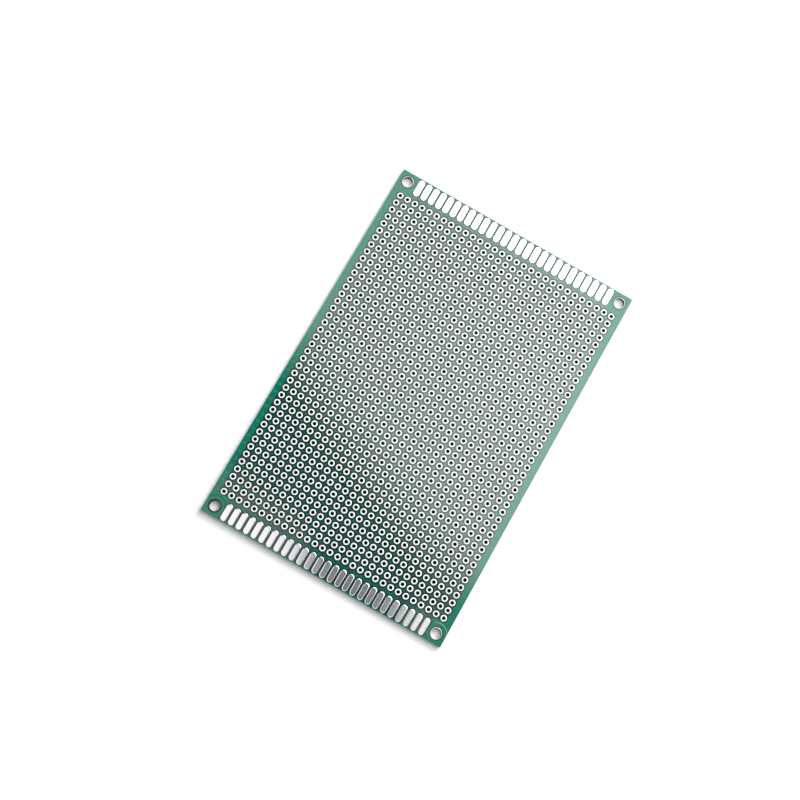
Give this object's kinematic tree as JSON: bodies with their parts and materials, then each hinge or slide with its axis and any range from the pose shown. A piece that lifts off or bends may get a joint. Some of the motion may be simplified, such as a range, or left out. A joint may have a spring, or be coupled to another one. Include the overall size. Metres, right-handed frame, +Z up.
{
  "type": "perforated prototyping circuit board",
  "caption": "Bare double-sided prototyping board with a grid of plated-through holes, edge pads along both ends, corner mounting holes and green solder mask.",
  "frame": {"origin": "middle of the board, on the plane that its lower pads lie on", "axes": "+X across the board's width, +Y along its length, +Z up through its thickness to the upper face"},
  "size_m": [0.08, 0.12, 0.0016],
  "materials": {
    "laminate": "glass-epoxy sheet with sawn edges",
    "solder_mask": "glossy green solder mask, slightly mottled",
    "tinned_copper": "copper with a bright solder coat"
  },
  "bodies": {
    "root": {"laminate": "laminate", "solder_mask_top": "solder_mask", "solder_mask_bottom": "solder_mask", "plated_holes_front": "tinned_copper", "plated_holes_rear": "tinned_copper", "edge_pads_top_front": "tinned_copper", "edge_pads_top_rear": "tinned_copper", "edge_pads_bottom_front": "tinned_copper", "edge_pads_bottom_rear": "tinned_copper", "mounting_ring_front_left": "tinned_copper", "mounting_ring_front_right": "tinned_copper", "mounting_ring_rear_left": "tinned_copper", "mounting_ring_rear_right": "tinned_copper"}
  },
  "joints": []
}
